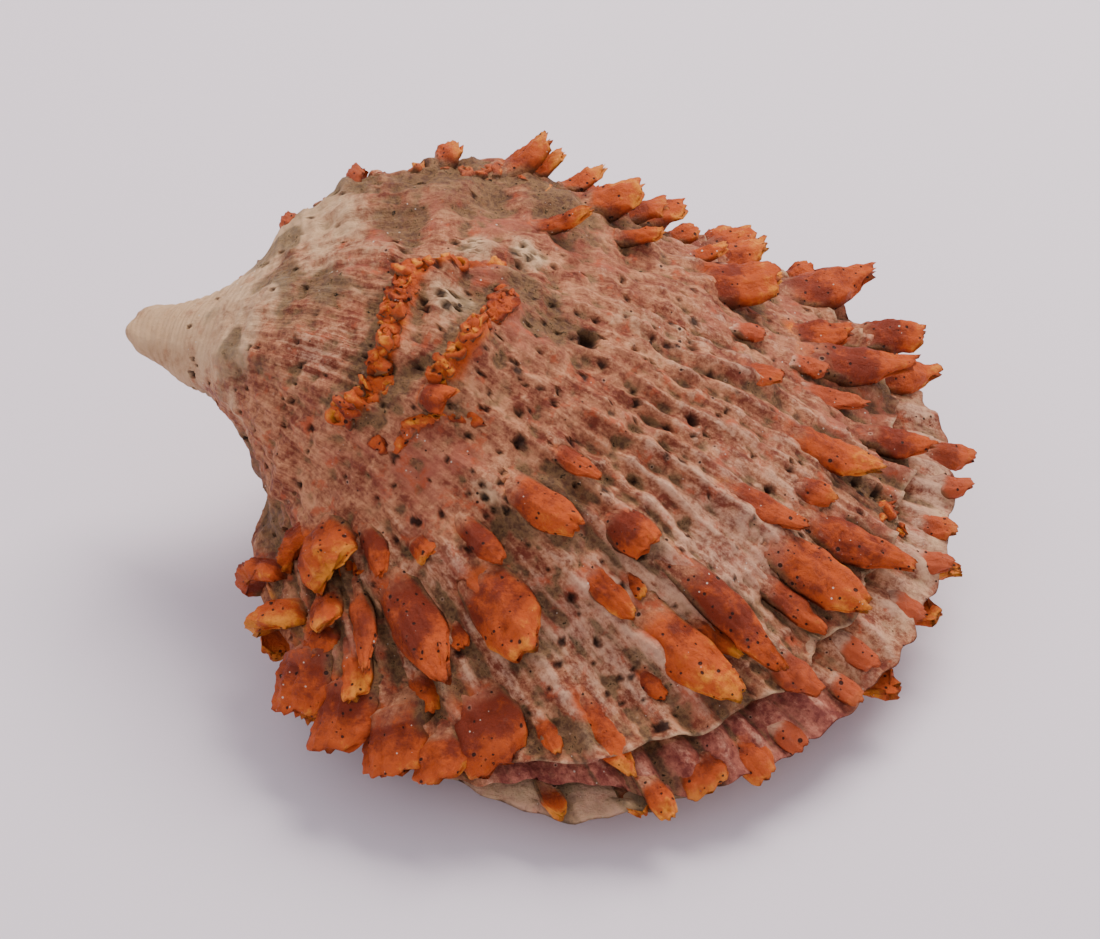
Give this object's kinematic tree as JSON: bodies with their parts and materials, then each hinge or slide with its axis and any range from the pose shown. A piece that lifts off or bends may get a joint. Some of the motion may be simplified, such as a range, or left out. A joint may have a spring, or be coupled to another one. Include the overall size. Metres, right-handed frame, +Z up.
{
  "type": "spiny oyster shell",
  "caption": "Closed spiny oyster shell: a deep, ribbed and spined upper valve with a drawn-out beak, resting on its flatter lower valve.",
  "frame": {"origin": "middle of the shell's box, on the surface that it rests on", "axes": "+Z up, the beak points to -X, the near margin of the picture faces -Y"},
  "size_m": [0.1499, 0.1333, 0.0687],
  "materials": {
    "upper_shell": "matte",
    "lower_shell": "matte"
  },
  "bodies": {
    "root": {"upper_valve": "upper_shell", "lower_valve": "lower_shell"}
  },
  "joints": []
}
